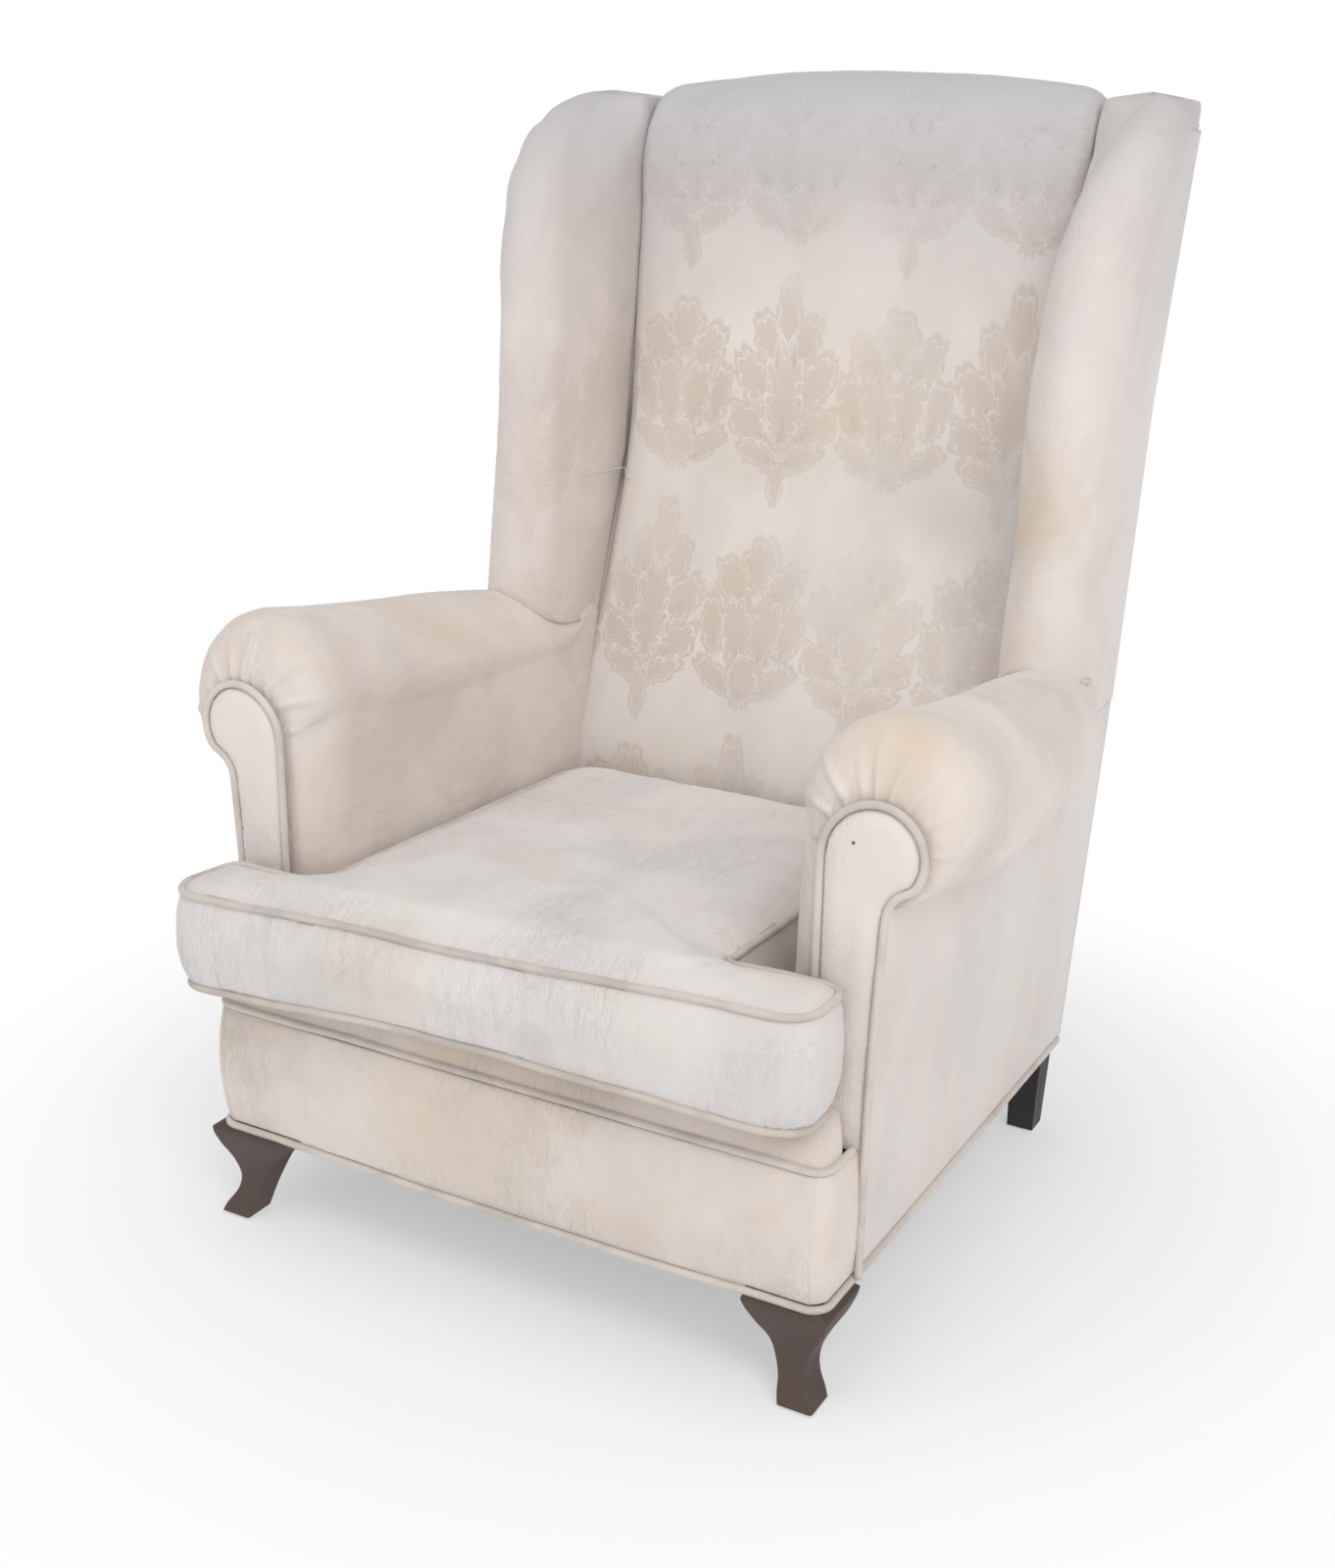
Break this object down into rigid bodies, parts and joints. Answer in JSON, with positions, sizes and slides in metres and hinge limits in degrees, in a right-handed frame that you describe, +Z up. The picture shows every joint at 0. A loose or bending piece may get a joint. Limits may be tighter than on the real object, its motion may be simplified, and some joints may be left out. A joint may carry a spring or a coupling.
{
  "type": "wingback armchair",
  "caption": "High-backed upholstered wing armchair with scroll arms, a loose T-shaped seat cushion, a piped front border and short cabriole front legs.",
  "frame": {"origin": "on the floor under the middle of the chair's bounding box", "axes": "+Z up, front of the chair faces -Y, +X to the right as seen from the front"},
  "size_m": [0.8364, 0.8626, 1.138],
  "materials": {
    "damask": "ivory self-patterned damask, satin ground, aged and slightly stained",
    "cushion_damask": "the same damask, paler and crinkled",
    "piping_cord": "self-covered piping, worn",
    "stuffing": "foam and wadding",
    "leg_wood": "dark stained, worn to copper brown on the edges, satin",
    "frame_beech": "planed beech, raw",
    "steel": "bright wire and zinc plated screws",
    "glide_nylon": "pale nylon glide",
    "hessian": "coarse jute hessian",
    "dust_cloth": "black bottoming cloth"
  },
  "bodies": {
    "chair": {"arm_facing_left": "damask", "arm_facing_right": "damask", "arm_post_left": "frame_beech", "arm_post_right": "frame_beech", "arm_rail_left": "frame_beech", "arm_rail_right": "frame_beech", "back_rail": "frame_beech", "back_springs": "steel", "back_stile_left": "frame_beech", "back_stile_right": "frame_beech", "base_piping": "piping_cord", "border_piping": "piping_cord", "corner_block_front_left": "frame_beech", "corner_block_front_right": "frame_beech", "corner_block_rear_left": "frame_beech", "corner_block_rear_right": "frame_beech", "crest_rail": "frame_beech", "dust_cover": "dust_cloth", "facing_piping_left": "piping_cord", "facing_piping_right": "piping_cord", "frame_screws": "steel", "front_border": "damask", "front_leg_left": "leg_wood", "front_leg_right": "leg_wood", "front_rail": "frame_beech", "inside_arm_left": "damask", "inside_arm_right": "damask", "inside_back": "damask", "inside_wing_left": "damask", "inside_wing_right": "damask", "leg_bolts": "steel", "leg_glides": "glide_nylon", "low_arm_rail_left": "frame_beech", "low_arm_rail_right": "frame_beech", "low_back_rail": "frame_beech", "outside_arm_left": "damask", "outside_arm_right": "damask", "outside_back": "damask", "outside_wing_left": "damask", "outside_wing_right": "damask", "rear_leg_left": "leg_wood", "rear_leg_right": "leg_wood", "seat_deck": "damask", "seat_hessian": "hessian", "seat_springs": "steel", "side_rail_left": "frame_beech", "side_rail_right": "frame_beech", "spring_clips": "steel", "wing_post_left": "frame_beech", "wing_post_right": "frame_beech", "wing_rail_left": "frame_beech", "wing_rail_right": "frame_beech"},
    "cushion": {"cushion_cover": "cushion_damask", "cushion_core": "stuffing", "cushion_piping_low": "piping_cord", "cushion_piping_high": "piping_cord"}
  },
  "joints": [
    {"name": "cushion_lift", "type": "slide", "parent": "chair", "child": "cushion", "axis": [0, -0.6, 0.8], "range_m": [0, 0.5]}
  ]
}
